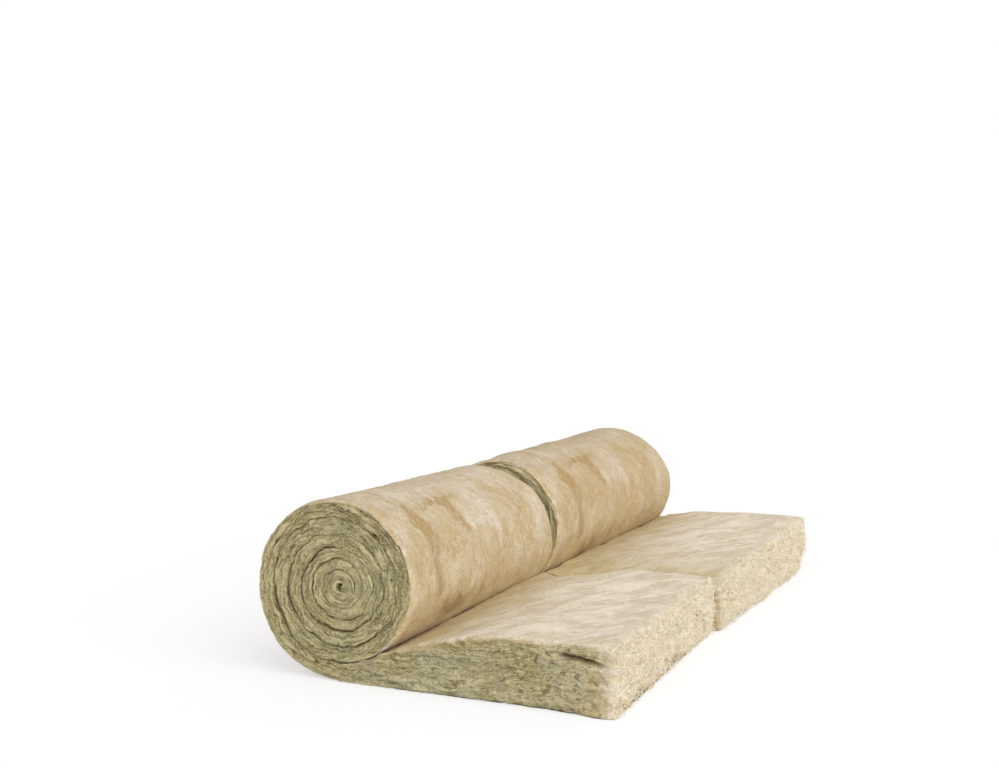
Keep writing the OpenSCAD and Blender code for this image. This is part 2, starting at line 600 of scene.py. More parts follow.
# The slit is shut below the second height and free above the first; how far both faces stay back there
SLIT_SHUT = (0.20, 0.10)
SHUT_GAP = 0.0005


def ply_noise(along, ply, end):
    """Layers of wool as they show on a cut end: long in the strip's direction, thin across it."""
    bend = noise(vector(along * 9, ply * 50, end), 1, 2) - 0.5
    return noise(vector(along * 15, ply * 130 + bend * 2.4, end + 3), 1, 2, 0.55)


def cracks(plies, along, ply, end):
    """Lines along which the layers part: 1 on a line and 0 away from it."""
    loose = noise(vector(along * 12, ply * 45, end + 9), 1, 1).ease(0.42, 0.62)
    return contour(plies, 0.035) * loose


def gash_shape(given, s):
    """A gash in the side of the front mat: 1 inside and 0 away from it."""
    bend = noise(vector(s.along * 20, s.end, 0.2), 1, 2) - 0.5
    height = GASH_HEIGHT - 0.075 * s.tail.ease(0.38, 0.48) - bend * 0.20
    gash = (s.depth - height) / s.tail.ease(0.42, 0.47, 0.034, 0.016)
    gash = (gash * gash * -1).math("EXPONENT") * s.tail.ease(0.375, 0.40) * s.to_end.ease(0.006, 0.022)
    return gash * given["Slit At Stop"] * s.tail.ease(0.42, 0.48, 1.0, 0.65)


def cut_end_relief(given, s, x, z):
    """How far the cut ends stand out: turns are uneven, their edges fall back and layers part."""
    along, tail, depth, end = s.along, s.tail, s.depth, s.end
    ply = depth * (given["Outer Layer"] - given["Thinning"] * s.turn).lerp(s.top, s.free)
    sway = noise(vector(along * 9, depth * 1.6, end + 2), 1, 2) - 0.5
    s.ply = ply + sway * PLY_SWAY * tail.ease(0.05, 0.20)
    plies = ply_noise(along, s.ply, end)
    crack = cracks(plies, along, s.ply, end)
    proud = noise(vector(along * 6, end, 0.7), 1, 2) - 0.5
    tufts = noise(vector(x, end, z), 110, 2, 0.6) - 0.5
    strands = noise(vector(along * 34, s.ply * 190 + plies * 3, end), 1, 2) - 0.5

    turns = proud * TURN_PROUD + (plies - 0.5) * TURN_PLIES + tufts * TURN_TUFTS - crack * CRACK_DEPTH
    turns = turns - s.edge ** 4 * (TURN_EDGE[0] + TURN_EDGE[1] * s.opening) * (1 - s.skin_side)
    turns = turns - rounding(depth, OUTER_ROUND) * s.outermost + TURN_FILL

    s.gash = gash_shape(given, s)
    lip = rounding(1 - depth, TOP_LIP) + rounding(depth, FOOT_LIP)
    side = (plies - 0.5) * TAIL_PLIES + tufts * TAIL_TUFTS + strands * TAIL_STRANDS - crack * CRACK_DEPTH
    side = side * s.to_end.ease(0.0, 0.03, 0.5, 1) * depth.ease(0.92, 1.0, 1, 0.4)
    side = side - s.gash * GASH_DEPTH - lip + TAIL_FILL

    # In the closed part of the slit nothing stands out past its plane
    relief = turns.lerp(side, tail.ease(0.0, 0.12))
    relief = relief - rounding(s.to_end, TIP_ROUND) * (1 - s.in_slit)
    shut = (relief * 0.3).math("MINIMUM", 0) - SHUT_GAP
    closed = tail.ease(0.0, 0.1).math("MAXIMUM", z.ease(*SLIT_SHUT))
    relief = relief.lerp(shut, s.in_slit * closed)
    return s.facing * relief * s.from_cut.fade(RELIEF_REACH)


print("cut ends ready, with a gash", GASH_DEPTH, "m deep")

# %% Slit, torn end and dents
# Heights between which the slit opens, and between which it flares
SLIT_OPENS = (0.095, 0.20)
SLIT_FLARES = (0.23, 0.295)
# Relief of the torn end: bulge, lumps, curls, sheets and notches, and how far in it reaches
TORN_BULGE, TORN_LUMPS, TORN_CURLS, TORN_SHEETS, TORN_NOTCHES = 0.005, 0.014, 0.009, 0.016, 0.020
TORN_REACH = 0.008
# Dents of the skin, broad and small
BROAD_DENTS, SMALL_DENTS = 0.012, 0.004


def slit_lean(given, s, z):
    """How far the slit's faces lean back over the roll."""
    lean = given["Slit Middle"] * z.ease(*SLIT_OPENS) + given["Slit Top"] * z.ease(*SLIT_FLARES)
    lean = lean * s.hold
    return lean * (given["Slit At Start"] * (1 - s.share) - given["Slit At Stop"] * s.share)


def torn_end_relief(s, y, z):
    """How far the torn end stands out: a soft bulge with sheets, woolly lumps and notched corners."""
    lumps = noise(vector(s.seed, y, z), 48, 1) - 0.5
    curls = noise(vector(s.seed, y, z), 120, 2, 0.65) - 0.5
    sheets = noise(vector(s.seed + 3, y * 9, s.depth * 7), 1, 2) - 0.5
    notches = noise(vector(s.seed + 5, y * 6, s.depth * 9), 1, 2) - 0.5
    notches = notches * s.from_cut.ease(0.10, 0.0)
    ragged = (1 - s.edge ** 2) * TORN_BULGE + lumps * TORN_LUMPS + curls * TORN_CURLS
    ragged = ragged + sheets * TORN_SHEETS + notches * TORN_NOTCHES * (1 - s.in_slit)
    return ragged * s.to_end.fade(TORN_REACH) * s.free * s.from_cut.ease(0.0, 0.02, 0.5, 1)


def skin_dents(given, cut):
    """Dents of the skin along its normal: deepest on the rear mat, none where the wool is on the floor."""
    spot = Wire.of(cut.tree, "GeometryNodeInputPosition")
    _, y, height = parts(spot)
    broad = noise(spot, 11, 1) - 0.5
    small = noise(spot, 42, 2) - 0.5
    inland = y.math("MINIMUM", given["Width"] - y).ease(0.0, 0.05, 0.35, 1)
    dents = (broad * BROAD_DENTS * inland + small * SMALL_DENTS) * (1 - cut) * height.ease(0.004, 0.04)
    normal = Wire.of(cut.tree, "GeometryNodeInputNormal")
    return normal.node("ShaderNodeVectorMath", {0: normal, "Scale": dents}, operation="SCALE")


print("slit, torn end and dents ready")


# %% Build the winding tree
def winding_tree():
    tree, given = new_tree("wind the mat", WINDING_INPUTS)
    s = strip_places(tree, given)
    wound_x, wound_z = wound_place(given, s)
    tail_x, tail_z = tail_place(given, s)
    x, z = wound_x.lerp(tail_x, s.free), wound_z.lerp(tail_z, s.free)
    x, z = soft_roll(given, s, x, z)
    x, z = wavy_turns(s, x, z)
    y = s.y + cut_end_relief(given, s, x, z) + s.spread_y
    y = y + slit_lean(given, s, z)
    x = x + torn_end_relief(s, y, z)

    # Remember the strip's own coordinates and the mask of painted shade beside the slit, then move every
    # point and keep it above the floor
    geometry = given["Geometry"]
    remembered = {"along": s.along, "across": s.across, "depth": s.depth, "end": s.end, "to_end": s.to_end,
                  "ply": s.ply, "gape": s.opening.lerp(s.gash, s.free), "groove": s.groove_shade}
    for label, value in remembered.items():
        geometry = store(geometry, label, value)
    place = vector(x + given["Roll X"], y, z.math("MAXIMUM", 0.0))
    geometry = geometry.node("GeometryNodeSetPosition", {"Geometry": geometry, "Position": place})
    push = skin_dents(given, s.cut)
    geometry = geometry.node("GeometryNodeSetPosition", {"Geometry": geometry, "Offset": push})
    close_tree(tree, geometry)
    return tree


winding = winding_tree()
print("winding tree with", len(winding.nodes), "nodes")

# %% Wind both mats
# How far a mat's face is set back in the slit at two thirds of the height, and how much more at the top
FRONT_SLIT = (0.020, 0.028)
REAR_SLIT = (0.013, 0.012)
# How far the skin's rim drops at the two ends of a mat, in the order of Y
FRONT_RIMS = (0.001, 0.009)
REAR_RIMS = (0.003, 0.002)

common = {
    "Roll Height": ROLL_HEIGHT, "Outer Layer": OUTER_LAYER, "Thinning": THINNING, "Roll X": ROLL_X,
    "Width": MAT_WIDTH, "Thickness": MAT_THICKNESS,
}
front_inputs = {
    "Start Y": front_low[1], "Reach": front_reach, "End Slope": FRONT_END_SLOPE, "Seed": 1.0,
    "Slit At Start": 0.0, "Slit At Stop": 1.0, "Slit Middle": FRONT_SLIT[0], "Slit Top": FRONT_SLIT[1],
    "Rim At Start": FRONT_RIMS[0], "Rim At Stop": FRONT_RIMS[1],
}
rear_inputs = {
    "Start Y": rear_low[1], "Reach": rear_reach, "End Slope": REAR_END_SLOPE, "Seed": 4.0,
    "Slit At Start": 1.0, "Slit At Stop": 0.0, "Slit Middle": REAR_SLIT[0], "Slit Top": REAR_SLIT[1],
    "Rim At Start": REAR_RIMS[0], "Rim At Stop": REAR_RIMS[1],
}
for piece, inputs in ((front_wool, front_inputs), (rear_wool, rear_inputs)):
    apply_tree(piece, winding, {**common, **inputs})
    piece.data.calc_loop_triangles()
    corners = [v.co for v in piece.data.vertices]
    low = [round(min(c[i] for c in corners), 3) for i in range(3)]
    high = [round(max(c[i] for c in corners), 3) for i in range(3)]
    print(piece.name, len(piece.data.loop_triangles), "triangles, box", low, high)

# %% [markdown]
# ## The wool finish
#
# One material serves both mats, because the real mats are one wool all through. What changes is how it
# was laid bare: the skin is smooth and cloudy, the cut ends show green-grey plies edge on, and the torn
# free end is cream and curly. The strip carries its own coordinates (along, across and depth), so the
# streaks of the skin run along the strip and the plies follow every turn of the spiral. Object
# coordinates would run straight through the roll like the grain of a log.

# %% Colours and helpers of the finish
SKIN_TAN = (0.49, 0.365, 0.175)
# Painted light: a warm tone that lifts the shade low on the roll and deep in the crease
PAINTED_WARM_LIGHT = (0.88, 0.675, 0.33)
SKIN_CREAM = (0.65, 0.54, 0.37)
SKIN_PALE = (0.72, 0.645, 0.55)
SKIN_OCHRE = (0.40, 0.258, 0.092)
SKIN_PINK = (0.60, 0.44, 0.29)
# Painted shade on the free end towards the crease and beside the slit
PAINTED_CREASE_SHADE = (0.41, 0.285, 0.040)
TOP_CREAM = (0.87, 0.79, 0.66)
CUT_OLIVE = (0.335, 0.285, 0.122)
CUT_GREEN = (0.325, 0.31, 0.158)
CUT_CREAM = (0.66, 0.58, 0.335)
CUT_TAN = (0.50, 0.385, 0.19)
CUT_PALE = (0.54, 0.51, 0.34)
CUT_DARK = (0.10, 0.080, 0.030)
TORN_WHITE = (0.97, 0.905, 0.75)
TORN_CREAM = (0.90, 0.785, 0.56)
TORN_TAN = (0.58, 0.44, 0.23)
TORN_PINK = (0.88, 0.735, 0.54)
BLUSH_SHARE = 0.6
# Marks on the outer turn, as place along and across the strip and size in both directions
OCHRE_STAINS = ((-0.512, 0.110, 0.030, 0.016), (-0.545, 0.126, 0.018, 0.020), (-0.588, 0.103, 0.048, 0.017),
                (-0.520, 0.252, 0.036, 0.019), (-0.492, 0.225, 0.006, 0.080), (-0.665, 0.185, 0.020, 0.060))
PALE_CLOUDS = ((-0.515, 0.375, 0.020, 0.075), (-0.541, 0.305, 0.017, 0.055), (-0.590, 0.548, 0.075, 0.022),
               (-0.455, 0.250, 0.022, 0.240), (-0.625, 0.430, 0.030, 0.030))


def blend(share, first, second):
    """A colour between two, each given as numbers or as a wire."""
    def colour(value):
        return value if isinstance(value, Wire) else (*value, 1)

    inputs = {0: share, 6: colour(first), 7: colour(second)}
    return share.node("ShaderNodeMix", inputs, 2, data_type="RGBA", clamp_factor=True)


def lay_over(base, *layers):
    """Lays colours over a base one after another, each as (share, colour)."""
    for share, colour in layers:
        base = blend(share, base, colour)
    return base


def marks(u, v, places):
    """Soft patches on the strip: 1 in the middle of each and 0 away from them."""
    total = 0
    for along, across, long, wide in places:
        far = ((u - along) * (1 / long)) ** 2 + ((v - across) * (1 / wide)) ** 2
        total = (far * -1).math("EXPONENT") + total
    return total.math("MINIMUM", 1)


def torn_blush(spot):
    """Broad pinkish patches of the torn end: 1 inside and 0 between them."""
    return noise(spot, 28, 3, 0.6).ease(0.48, 0.62)


def torn_pits(spot):
    """Spots on the torn end that stand for small hollows, with painted shade and fewer fibres: 1 inside and
    0 between them.
    """
    return noise(spot, 42, 2, 0.6).ease(0.35, 0.27)


def strip_wires(tree):
    """The coordinates that the winding stored on the strip, and what all the finishes share."""
    a = Places()
    for label in ("along", "across", "depth", "end", "to_end", "ply", "gape", "groove", "cut"):
        setattr(a, label, Wire.of(tree, "ShaderNodeAttribute", out=2, attribute_name=label))
    a.spot = Wire.of(tree, "ShaderNodeTexCoord", out=3)
    _, a.y, a.z = parts(a.spot)
    a.edge = (2 * a.depth - 1).math("ABSOLUTE")
    a.fuzz = noise(a.spot, 330, 3, 0.65)
    a.mottle = noise(a.spot, 30, 3, 0.6)
    a.tail = a.along.ease(0.0, 0.12)
    a.outermost = a.along.ease(-0.80, -0.76) * (1 - a.tail)
    a.in_slit = a.end.ease(-5.5, -4.0) * a.end.ease(10.0, 9.0) * (1 - a.tail)
    a.warp_x, a.warp_y, _ = parts(noise(vector(a.along, a.across, 0.0), 22, 3, 0.6, out=1))
    return a


print(len(OCHRE_STAINS), "ochre stains and", len(PALE_CLOUDS), "pale clouds on each outer turn")


# %% Skin
def roll_skin(a, u, v, clouds, patches, folds, streaks):
    """Skin of the roll: pale clouds and ochre strokes that run round it, with painted light low down, high
    up and close to the crease.
    """
    strokes = noise(vector(u * 8 + 5, v * 34, clouds), 1, 3, 0.6)
    ochre = marks(u, v, OCHRE_STAINS)
    pale = marks(u, v, PALE_CLOUDS)
    return lay_over(
        blend((clouds - 0.02).ease(0.34, 0.66), SKIN_TAN, SKIN_CREAM),
        # Painted light: warm bounce low down, paler high up, and lighter close to the crease to lift its
        # shade
        (a.along.ease(-0.56, -0.70) * 0.75, PAINTED_WARM_LIGHT),
        (a.along.ease(-0.51, -0.45) * 0.25, SKIN_PALE),
        (a.along.ease(-0.67, -0.72) * 0.8, SKIN_PALE),
        # Clouds, patches and stains
        ((pale * 0.45 + clouds - 0.5).ease(0.0, 0.65) * 0.8, SKIN_PALE),
        (patches.ease(0.53, 0.60) * 0.36, SKIN_PALE),
        (patches.ease(0.46, 0.38) * 0.50, SKIN_TAN),
        (contour(patches, 0.018) * 0.35, SKIN_OCHRE),
        (strokes.ease(0.56, 0.74) * 0.45, SKIN_OCHRE),
        ((ochre * (0.2 + 1.5 * clouds)).ease(0.08, 0.7), SKIN_OCHRE),
        # Folds and streaks
        (contour(folds, 0.03) * 0.25, SKIN_OCHRE),
        (streaks.ease(0.52, 0.72) * 0.25, SKIN_PINK),
        (streaks.ease(0.46, 0.28) * 0.30, SKIN_PALE),
    )


def tail_skin(a):
    """Skin of the free end: paler, with streaks that run aslant, painted shade towards the crease and
    beside the slit, and painted warm light deep in the crease.
    """
    slant = a.along * 0.55 + a.y * 0.83 + (a.warp_x - 0.5) * 0.05
    against = a.y * 0.55 - a.along * 0.83 + (a.warp_y - 0.5) * 0.03
    washes = noise(vector(slant * 9, against * 30, 5.0), 1, 5, 0.65)
    brush = noise(vector(slant * 18, against * 130, 7.0), 1, 3, 0.65)
    slivers = noise(vector(slant * 16, against * 250, 2.0), 1, 3, 0.7)
    # Painted shade: a mask that darkens the skin towards the crease and in the groove beside the slit
    shade = (a.along.ease(0.09, 0.30, 0.9, 0) + a.groove * 0.8).math("MINIMUM", 0.8)
    return lay_over(
        blend(washes.ease(0.34, 0.62), SKIN_CREAM, TOP_CREAM),
        (brush.ease(0.54, 0.72) * 0.50, SKIN_TAN),
        (brush.ease(0.46, 0.28) * 0.60, TORN_WHITE),
        (slivers.ease(0.56, 0.66) * 0.35, SKIN_PINK),
        (slivers.ease(0.44, 0.36) * 0.45, TORN_WHITE),
        (contour(washes, 0.02, 0.46) * 0.35, SKIN_OCHRE),
        # Painted shade towards the crease and beside the slit, then painted warm light deep in the crease
        (shade * (0.45 + brush * 0.8), PAINTED_CREASE_SHADE),
        (a.along.ease(0.15, 0.095) * 0.5, PAINTED_WARM_LIGHT),
    )


def skin_finish(a):
    """Colour and relief of the skin."""
    u = a.along + (a.warp_x - 0.5) * 0.06
    v = a.across + (a.warp_y - 0.5) * 0.06
    clouds = noise(vector(u * 12, v * 12, 0.0), 1, 6, 0.68)
    patches = noise(vector(u * 19, v * 23, 8.0), 1, 5, 0.7)
    folds = noise(vector(u * 14, v * 18, 4.0), 1, 3, 0.6)
    streaks = noise(vector(u * 22, v * 110, 9.0), 1, 3, 0.6)
    threads = noise(vector(a.along * 150 + a.warp_y * 9, a.across * 420, clouds * 3), 1, 2, 0.6)
    hairs = contour(noise(vector(u * 26 + v * 14, v * 190 - u * 90, 3.0), 1, 2), 0.075)
    strays = contour(noise(vector(v * 26 - u * 10, u * 170 + v * 70, 6.0), 1, 2), 0.06)
    inside = a.along.ease(0.04, 0.0) * (1 - a.outermost * a.depth.ease(0.6, 0.4))
    colour = lay_over(
        blend(a.tail, roll_skin(a, u, v, clouds, patches, folds, streaks), tail_skin(a)),
        (threads.ease(0.48, 0.75) * 0.40, SKIN_OCHRE),
        (a.fuzz.ease(0.5, 0.75) * 0.35, SKIN_PALE),
        (hairs * 0.38, SKIN_PALE),
        (strays * (0.32 - 0.20 * a.tail), SKIN_OCHRE),
        (a.y.ease(0.0, 0.25) * (1 - a.tail) * 0.22, SKIN_OCHRE),
        (inside, CUT_OLIVE),
    )
    relief = threads * 0.4 + streaks * 0.4 + folds * 0.8 + a.fuzz * 0.3 + hairs * 0.15
    return colour, relief + patches * 0.8 * (1 - a.tail) - 1.2


print("skin ready")


# %% Cut ends and torn end
def cut_finish(a):
    """Colour and relief of the cut ends: fine layers that follow the turns, dark where they part, with
    painted shade in the crevices, the gash, small holes and along the free end's foot, and painted light in
    the slit.
    """
    along, ply, end, tail = a.along, a.ply, a.end, a.tail
    a.plies = ply_noise(along, ply, end)
    crack = cracks(a.plies, along, ply, end)
    wave = noise(vector(along * 85, ply * 85, end), 1, 2) - 0.5
    a.lines = noise(vector(along * 30, ply * 400 + wave * 3, end), 1, 2, 0.6)
    strata = noise(vector(along * 24, ply * 220 + wave * 4, end + 5), 1, 2, 0.6)
    wisps = noise(vector(along * 55 + wave * 2, ply * 210 + wave * 7, end + 4), 1, 2, 0.6)
    green, grit = noise(a.spot, 17, 2), noise(a.spot, 160, 2, 0.6)
    hole_shade = noise(a.spot, 70, 2, 0.55).ease(0.42, 0.33)
    core = along.ease(-1.6, -2.4)
    gash = a.gape + (a.fuzz - 0.5) * 0.7 + (a.lines - 0.5) * 0.7
    crevice_shade = a.edge.ease(0.84, 1.0) * (1 - tail) * (1 - a.outermost * a.depth.ease(0.5, 0.4))
    brown_lip = a.depth.ease(0.80, 1.0) * along.ease(0.08, 0.14) * along.ease(0.40, 0.26)
    colour = lay_over(
        # Broad patches, and the upper half of the outermost turn
        blend(green.ease(0.42, 0.58), CUT_OLIVE, CUT_GREEN),
        (a.mottle.ease(0.46, 0.62) * 0.5, CUT_TAN),
        (a.outermost * along.ease(-0.34, -0.42) * along.ease(-0.66, -0.56) * 0.4, CUT_DARK),
        (a.outermost * along.ease(-0.10, -0.25) * along.ease(-0.50, -0.40) * 0.6, CUT_TAN),
        (along.ease(0.15, 0.45) * a.mottle.ease(0.38, 0.6), CUT_TAN),
        (a.plies.ease(0.50, 0.66) * 0.6, CUT_CREAM),
        (tail * green.ease(0.42, 0.56) * 0.6, CUT_PALE),
        (tail * a.to_end.ease(0.11, 0.01) * 0.3, TORN_CREAM),
        # Layers, from broad to fine
        (strata.ease(0.47, 0.36) * (0.5 - 0.2 * tail), CUT_DARK),
        (strata.ease(0.53, 0.66) * 0.5, CUT_CREAM),
        (a.lines.ease(0.48, 0.35) * (0.75 - 0.2 * tail), CUT_DARK),
        (a.lines.ease(0.52, 0.66) * 0.8, CUT_CREAM),
        (a.fuzz.ease(0.50, 0.70) * 0.6, CUT_CREAM),
        (a.fuzz.ease(0.46, 0.26) * 0.6, CUT_DARK),
        (crack * (0.7 - 0.3 * tail), CUT_DARK),
        (grit.ease(0.50, 0.34) * 0.45, CUT_DARK),
        ((1 - tail) * (1 - core) * 0.05 + tail * along.ease(0.32, 0.16) * 0.06, CUT_DARK),
        (contour(wisps, 0.06) * 0.40, CUT_CREAM),
        # Painted shade: in the crevices between the turns, in the gash, and in small holes that are only
        # painted
        (crevice_shade * (0.15 + 0.5 * a.gape) * (1 - 0.4 * core), CUT_DARK),
        (tail * gash.ease(0.25, 0.9) * 0.85, CUT_DARK),
        (tail * hole_shade * along.ease(0.20, 0.36) * 0.7, CUT_DARK),
        (core * 0.12, CUT_CREAM),
        # Edges of the free end's side, with painted shade along its foot, and painted light that lifts the
        # shade on the faces in the slit
        (brown_lip * 0.6, SKIN_OCHRE),
        (tail * a.to_end.ease(0.09, 0.02) * a.mottle.ease(0.4, 0.55) * 0.6, CUT_TAN),
        (tail * a.depth.ease(0.05, 0.0) * 0.7, CUT_DARK),
        (a.in_slit * 0.45, CUT_CREAM),
    )
    return colour, a.lines * 0.8 + strata * 0.6 + a.fuzz * 0.8 - 1.1


def curl(spot, scale, shift):
    """Curled lines: 0 on a line and more away from it."""
    place = spot.node("ShaderNodeVectorMath", {0: spot, 1: (shift, shift, shift)}, operation="ADD")
    inputs = {"Vector": place, "Scale": scale, "Detail": 2, "Roughness": 0.55, "Distortion": 3}
    return (spot.node("ShaderNodeTexNoise", inputs) - 0.5).math("ABSOLUTE")


def torn_finish(a):
    """Colour and relief of the torn end: cream fleece in soft sheets, with painted shade in small pits."""
    coarse, fine = curl(a.spot, 60, 0.0), curl(a.spot, 130, 3.0)
    fleece = noise(a.spot, 210, 3, 0.75)
    sheets = noise(vector(a.y * 14, a.z * 90 + a.warp_y * 2, 4.0), 1, 2)
    layers = noise(vector(a.y * 10, a.z * 120 + a.warp_y * 3, 2.0), 1, 2)
    broad = noise(a.spot, 13, 2)
    colour = lay_over(
        blend(sheets.ease(0.38, 0.62), TORN_CREAM, TORN_WHITE),
        (coarse.ease(0.06, 0.24) * 0.35, TORN_TAN),
        (fleece.ease(0.49, 0.34) * 0.75, TORN_TAN),
        (fine.ease(0.05, 0.0) * 0.8, TORN_WHITE),
        (fleece.ease(0.52, 0.64) * 0.75, TORN_WHITE),
        (layers.ease(0.48, 0.36) * 0.45, TORN_TAN),
        (broad.ease(0.50, 0.64) * 0.30, TORN_TAN),
        (torn_blush(a.spot) * BLUSH_SHARE, TORN_PINK),
        # Painted shade in the small pits
        (torn_pits(a.spot) * 0.8, CUT_OLIVE),
    )
    return colour, coarse * -2 - fine * 3 + fleece * 0.7 + 0.15


print("cut ends and torn end ready")

# %% The wool material
WOOL_LOOK = {"Roughness": 0.95, "Specular IOR Level": 0.1, "Sheen Weight": 0.06, "Sheen Roughness": 0.6}
BUMP = {"Strength": 0.8, "Distance": 0.003}


def wool_material():
    material = bpy.data.materials.new("wool")
    material.use_nodes = True
    tree = material.node_tree
    tree.nodes.clear()
    a = strip_wires(tree)
    skin, skin_relief = skin_finish(a)
    ends, cut_relief = cut_finish(a)
    fluff, torn_relief = torn_finish(a)

    # Where each of the three shows: skin wraps a little way round the edges, and the torn end frays
    worn = (a.mottle - 0.5) * 0.25
    lip = a.tail * (a.depth + worn * 0.6 + (a.lines - 0.5) * 0.06).ease(0.90, 1.02)
    rim = a.outermost * (a.depth + worn * 0.6 - a.in_slit * 0.09).ease(0.18, 0.0) + lip
    end_face = a.cut.ease(0.3, 0.9)
    cut = end_face * (1 - rim)
    frayed = (a.mottle - 0.5) * 0.06 + (a.fuzz - 0.5) * 0.05 + (a.plies - 0.5) * 0.04 * end_face
    torn = (a.to_end + frayed).ease(0.028, 0.0)
    colour = blend(torn, blend(cut, skin, ends), fluff)
    relief = skin_relief.lerp(cut_relief, cut).lerp(torn_relief, torn)

    bump = colour.node("ShaderNodeBump", {**BUMP, "Height": relief})
    look = {**WOOL_LOOK, "Base Color": colour, "Normal": bump}
    shader = colour.node("ShaderNodeBsdfPrincipled", look)
    output = tree.nodes.new("ShaderNodeOutputMaterial")
    tree.links.new(shader.socket, output.inputs["Surface"])
    return material


wool = wool_material()
for piece in (front_wool, rear_wool):
    piece.data.materials.clear()
    piece.data.materials.append(wool)
print("wool material with", len(wool.node_tree.nodes), "nodes")

# %% [markdown]
# ## Loose fibres
#
# Fibres stick out wherever the wool was torn or cut: on the torn end and its shoulder, and more thinly
# on the cut ends. They repeat over a surface, so Geometry Nodes scatter them: points on the wool, one
# bent thread on each point, turned at random about the normal. A hair system would look the same, but
# threads made as a mesh travel with the part. A few thousand thin three-sided threads on each mat are
# enough, because they only break up the outline and the flat light.

# %% The fibre tree
# Threads for each square metre, and length and radius of a thread
FIBRE_SIZES = {
    "Torn Density": 40000.0, "Cut Density": 6000.0, "Fibre Length": 0.010, "Fibre Radius": 0.0006,
}
# How far a thread leans from the normal at most, its least and greatest size, and its size on cut ends
FIBRE_LEAN = 1.5
FIBRE_SCALES = (0.4, 1.2)
CUT_FIBRE_SCALE = 0.6
FLOOR_CLEARANCE = 0.0003


def bent_thread(tree, length, radius):
    """One thread that bows over, as a thin three-sided tube."""
    bow = {"Resolution": 4, "Start": (0, 0, 0), "Middle": vector(0.0, length * 0.35, length * 0.55),
           "End": vector(length * 0.35, length * 0.75, length * 0.25)}
    thread = Wire.of(tree, "GeometryNodeCurveQuadraticBezier", bow)
    ring = Wire.of(tree, "GeometryNodeCurvePrimitiveCircle", {"Resolution": 3, "Radius": radius})
    tube = {"Curve": thread, "Profile Curve": ring, "Fill Caps": True}
    return Wire.of(tree, "GeometryNodeCurveToMesh", tube)


def fibre_tree(material):
    tree, given = new_tree("scatter fibres", (*FIBRE_SIZES, "Seed"))
    to_end, depth = named(tree, "to_end"), named(tree, "depth")
    torn = to_end.ease(0.004, 0.0)
    fringe = depth.ease(0.10, 0.0)
    shoulder = to_end.ease(0.024, 0.0) * depth.ease(0.90, 1.0) * 0.6
    wound = named(tree, "along").ease(0.05, -0.02)
    bare = named(tree, "cut") * (1 - wound + 2 * wound * depth.ease(0.2, 0.4))
    bald = torn_pits(Wire.of(tree, "GeometryNodeInputPosition"))
    torn_density = given["Torn Density"] * (1 - bald)
    density = (torn + torn * fringe + shoulder) * torn_density + bare * given["Cut Density"]
    scatter = {"Mesh": given["Geometry"], "Density": density, "Seed": given["Seed"]}
    points = Wire.of(tree, "GeometryNodeDistributePointsOnFaces", scatter)
    normal = Wire(points.socket.node.outputs["Normal"])

    # Each thread leans, spins about its own axis and has its own size
    jitter = {0: (-FIBRE_LEAN,) * 3, 1: (FIBRE_LEAN,) * 3, "Seed": 5}
    jitter = Wire.of(tree, "FunctionNodeRandomValue", jitter, data_type="FLOAT_VECTOR")
    lean = normal.node("ShaderNodeVectorMath", {0: normal, 1: jitter}, operation="ADD")
    upright = lean.node("FunctionNodeAlignRotationToVector", {"Vector": lean}, axis="Z")
    spin = {2: 0.0, 3: 2 * math.pi, "Seed": 6}
    spin = vector(0.0, 0.0, Wire.of(tree, "FunctionNodeRandomValue", spin, 1, data_type="FLOAT"))
    turned = upright.node("FunctionNodeRotateRotation", {0: upright, 1: spin}, rotation_space="LOCAL")
    size = {2: FIBRE_SCALES[0], 3: FIBRE_SCALES[1], "Seed": 8}
    size = Wire.of(tree, "FunctionNodeRandomValue", size, 1, data_type="FLOAT")
    size = size * torn.ease(0, 1, CUT_FIBRE_SCALE, 1)
    thread = bent_thread(tree, given["Fibre Length"], given["Fibre Radius"])
    threads = {"Points": points, "Instance": thread, "Rotation": turned, "Scale": size}
    geometry = Wire.of(tree, "GeometryNodeInstanceOnPoints", threads)
    geometry = geometry.node("GeometryNodeRealizeInstances", {"Geometry": geometry})

    # Threads that would hang through the floor lie on it
    x, y, z = parts(Wire.of(tree, "GeometryNodeInputPosition"))
    lying = vector(x, y, z.math("MAXIMUM", FLOOR_CLEARANCE))
    geometry = geometry.node("GeometryNodeSetPosition", {"Geometry": geometry, "Position": lying})
    geometry = geometry.node("GeometryNodeSetMaterial", {"Geometry": geometry, "Material": material})
    close_tree(tree, geometry)
    return tree


print("fibres up to", FIBRE_SIZES["Fibre Length"] * FIBRE_SCALES[1], "m long")


# %% The fibre material
def fibre_material():
    material = bpy.data.materials.new("fibres")
    material.use_nodes = True
    tree = material.node_tree
    spot = Wire.of(tree, "ShaderNodeTexCoord", out=3)
    patches = noise(spot, 120, 2)
    to_end = Wire.of(tree, "ShaderNodeAttribute", out=2, attribute_name="to_end")
    torn = blend(patches.ease(0.40, 0.65), TORN_WHITE, TORN_CREAM)
    torn = blend(torn_blush(spot) * BLUSH_SHARE, torn, TORN_PINK)
    cut = blend(patches.ease(0.40, 0.60), CUT_CREAM, CUT_TAN)
    colour = blend(to_end.ease(0.008, 0.024), torn, cut)
    body = tree.nodes["Principled BSDF"]
    tree.links.new(colour.socket, body.inputs["Base Color"])
    body.inputs["Roughness"].default_value = 0.9
    body.inputs["Specular IOR Level"].default_value = 0.1
    return material


scatter_tree = fibre_tree(fibre_material())
print("fibre tree with", len(scatter_tree.nodes), "nodes")

